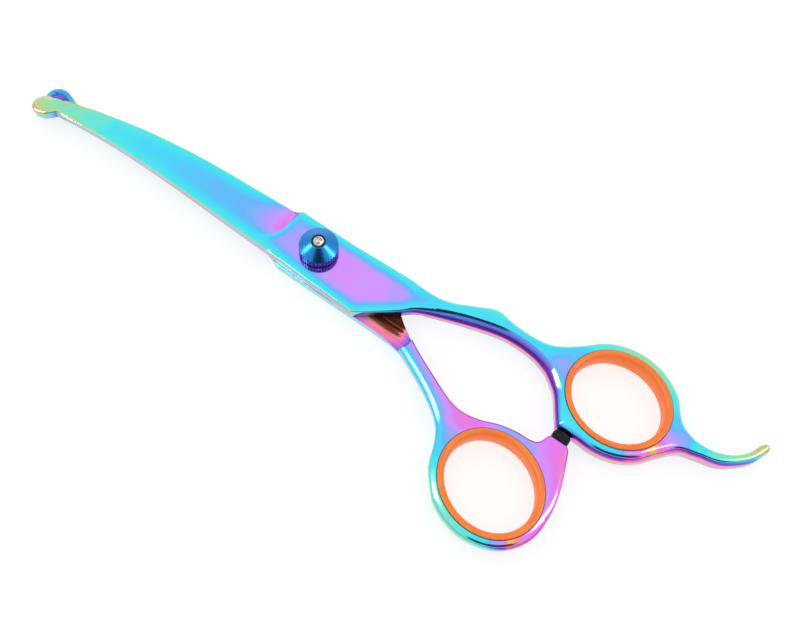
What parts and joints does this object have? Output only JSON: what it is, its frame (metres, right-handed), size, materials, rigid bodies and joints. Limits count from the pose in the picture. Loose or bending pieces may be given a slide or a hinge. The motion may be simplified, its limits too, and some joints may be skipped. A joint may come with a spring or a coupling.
{
  "type": "thinning shears",
  "caption": "Curved shears with a toothed lower blade, safety ball tips, a knurled tension knob, soft finger inserts, a bumper and a finger tang.",
  "frame": {"origin": "centre of the flat back face of the pivot screw's head, on the pivot axis", "axes": "+X to the blade tips, +Y to the thumb ring's side, +Z along the pivot axis to the tension knob; closed"},
  "size_m": [0.1967, 0.0614, 0.0115],
  "materials": {
    "coated_steel": "polished steel with a rainbow ion-plated coating",
    "insert_rubber": "satin moulded silicone",
    "bumper_rubber": "matt black rubber",
    "screw_steel": "turned steel with a blue anodic colour",
    "nylon": "natural nylon",
    "spring_steel": "plain spring steel",
    "anodised_blue": "turned and anodised blue, knurled side",
    "bright_metal": "bright plated cup",
    "crystal": "clear silver-backed crystal"
  },
  "bodies": {
    "finger_side": {"finger_half": "coated_steel", "finger_ring_insert": "insert_rubber", "pivot_bushing": "nylon", "friction_washer": "nylon"},
    "thumb_side": {"thumb_half": "coated_steel", "thumb_ring_insert": "insert_rubber", "bumper": "bumper_rubber", "pivot_screw": "screw_steel", "glide_washer": "nylon"},
    "spring": {"spring_washer": "spring_steel"},
    "knob": {"tension_knob": "anodised_blue", "crystal_bezel": "bright_metal", "knob_crystal": "crystal"}
  },
  "joints": [
    {"name": "blade_pivot", "type": "hinge", "parent": "finger_side", "child": "thumb_side", "pos_m": [0, 0, 0.0034], "axis": [0, 0, -1], "range_deg": [0, 135]},
    {"name": "knob_travel", "type": "slide", "parent": "thumb_side", "child": "spring", "axis": [0, 0, 1], "range_m": [0, 0.0005]},
    {"name": "knob_turn", "type": "hinge", "parent": "spring", "child": "knob", "pos_m": [0, 0, 0.006], "axis": [0, 0, 1], "range_deg": [0, 360]}
  ],
  "couplings": [
    {"joint": "knob_turn", "follows": "knob_travel", "rad_per_m": 12566}
  ]
}
